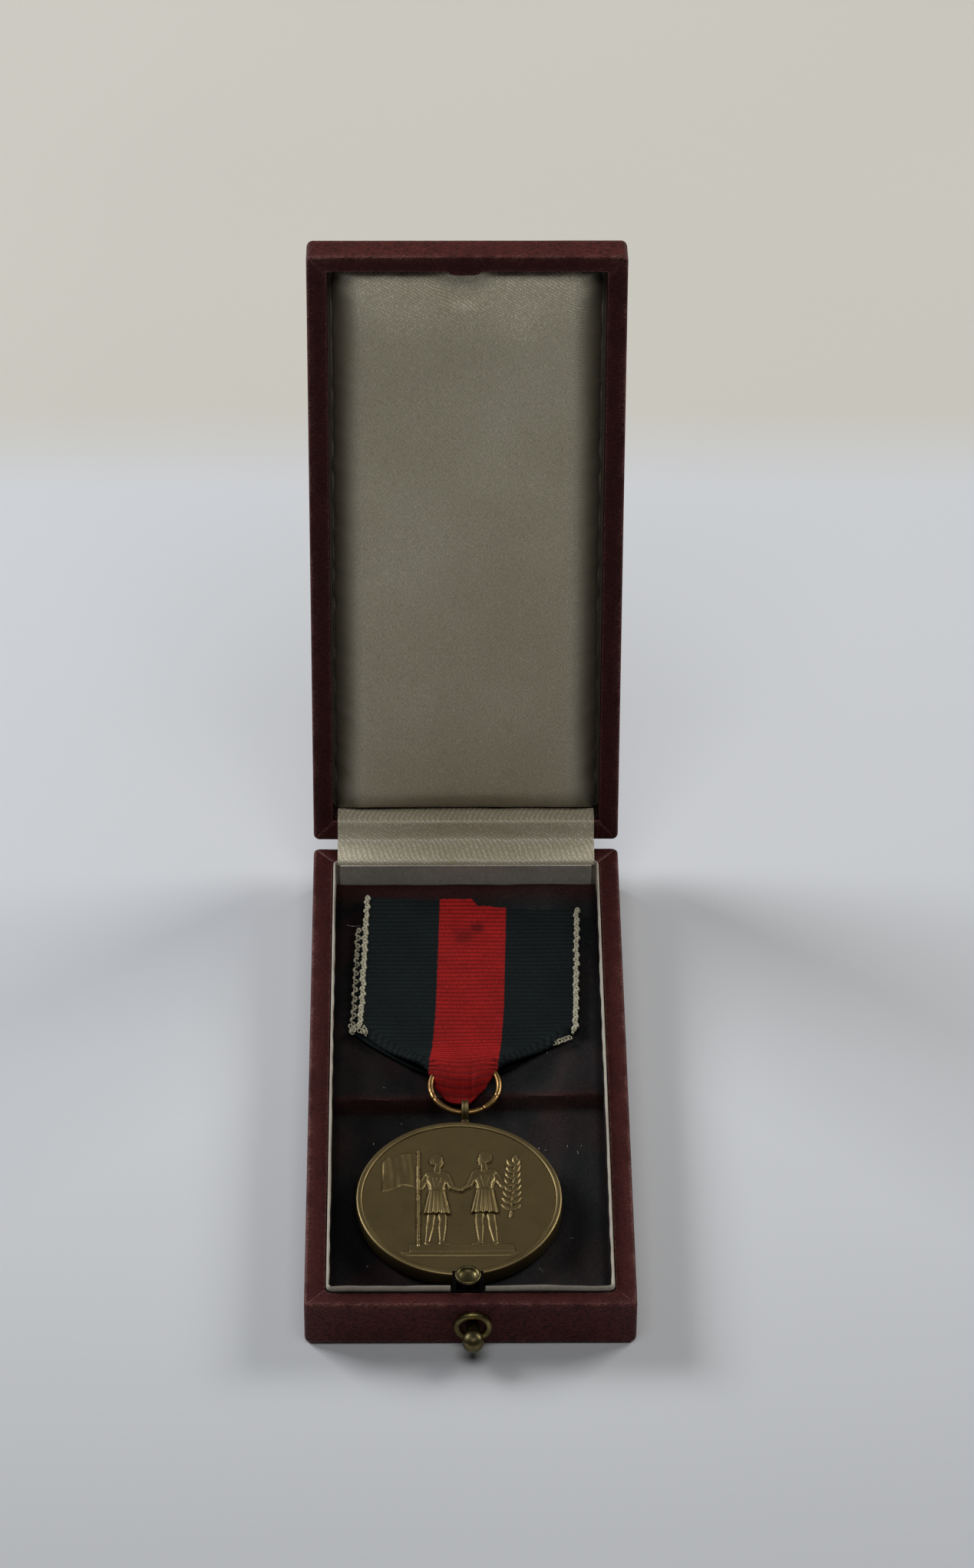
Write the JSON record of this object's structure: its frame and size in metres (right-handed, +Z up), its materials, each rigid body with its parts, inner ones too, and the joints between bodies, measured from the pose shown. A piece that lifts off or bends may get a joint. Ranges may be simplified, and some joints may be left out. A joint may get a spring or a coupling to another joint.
{
  "type": "service medal in presentation case",
  "caption": "Round service medal on a jump ring and folded ribbon, lying in a hinged presentation case with a push-button latch and a padded satin lid.",
  "frame": {"origin": "centre of the base's underside, the face that the case rests on", "axes": "+X to the right as the owner looks at the push button, +Y from the button to the hinge, +Z up"},
  "size_m": [0.052, 0.1418, 0.1169],
  "materials": {
    "leatherette": "dark maroon, pebbled grain, paler at worn edges",
    "card": "raw grey-brown card",
    "wood": "bare softwood",
    "lining_card": "cream coated edge",
    "ribbed_cloth": "grey-white ribbed cloth",
    "satin": "ivory satin with a soft sheen",
    "velvet": "near-black velvet pile",
    "brass": "aged olive brass",
    "spring_steel": "dull blued steel",
    "bronze": "olive-brown patinated bronze",
    "gilt_wire": "reddish gilt wire",
    "ribbon": "ribbed rayon, red centre between black bands with white edging"
  },
  "bodies": {
    "case_base": {"base_covering": "leatherette", "base_floor_board": "card", "base_frame": "wood", "lip_collar": "lining_card", "back_lining": "ribbed_cloth", "velvet_platform": "velvet", "velvet_recess": "velvet", "escutcheon": "brass", "latch_housing": "spring_steel", "latch_spring": "spring_steel", "hinge_satin": "satin", "hinge_spine": "leatherette"},
    "latch": {"push_button": "brass", "latch_slide": "brass", "latch_head": "brass"},
    "lid": {"lid_covering": "leatherette", "lid_frame": "wood", "lid_board": "card", "cushion_card": "card", "lid_cushion": "satin", "keeper_plate": "brass", "keeper_pin_left": "brass", "keeper_pin_right": "brass"},
    "ribbon": {"ribbon_front_panel": "ribbon", "ribbon_back_panel": "ribbon", "ribbon_ring_loop": "ribbon"},
    "ring": {"jump_ring": "gilt_wire"},
    "medal": {"medal_disc": "bronze", "suspension_eyelet": "bronze"}
  },
  "joints": [
    {"name": "lid_hinge", "type": "hinge", "parent": "case_base", "child": "lid", "pos_m": [0, 0.05496, 0.00962], "axis": [-1, 0, 0], "range_deg": [-101, 0], "deforming": ["hinge_satin", "hinge_spine"]},
    {"name": "button_press", "type": "slide", "parent": "case_base", "child": "latch", "axis": [0, 1, 0], "range_m": [0, 0.0009], "stiffness_N_per_m": 600, "deforming": ["latch_spring"]},
    {"name": "award_lift", "type": "slide", "parent": "case_base", "child": "ribbon", "axis": [0, 0, 1], "range_m": [0, 0.02]},
    {"name": "ring_swing", "type": "hinge", "parent": "ribbon", "child": "ring", "pos_m": [-0.00057, 0.00242, 0.00789], "axis": [-1, 0, 0], "range_deg": [0, 40], "deforming": ["ribbon_ring_loop"]},
    {"name": "medal_swing", "type": "hinge", "parent": "ring", "child": "medal", "pos_m": [-0.00057, -0.00871, 0.00654], "axis": [-1, 0, 0], "range_deg": [0, 60]}
  ]
}
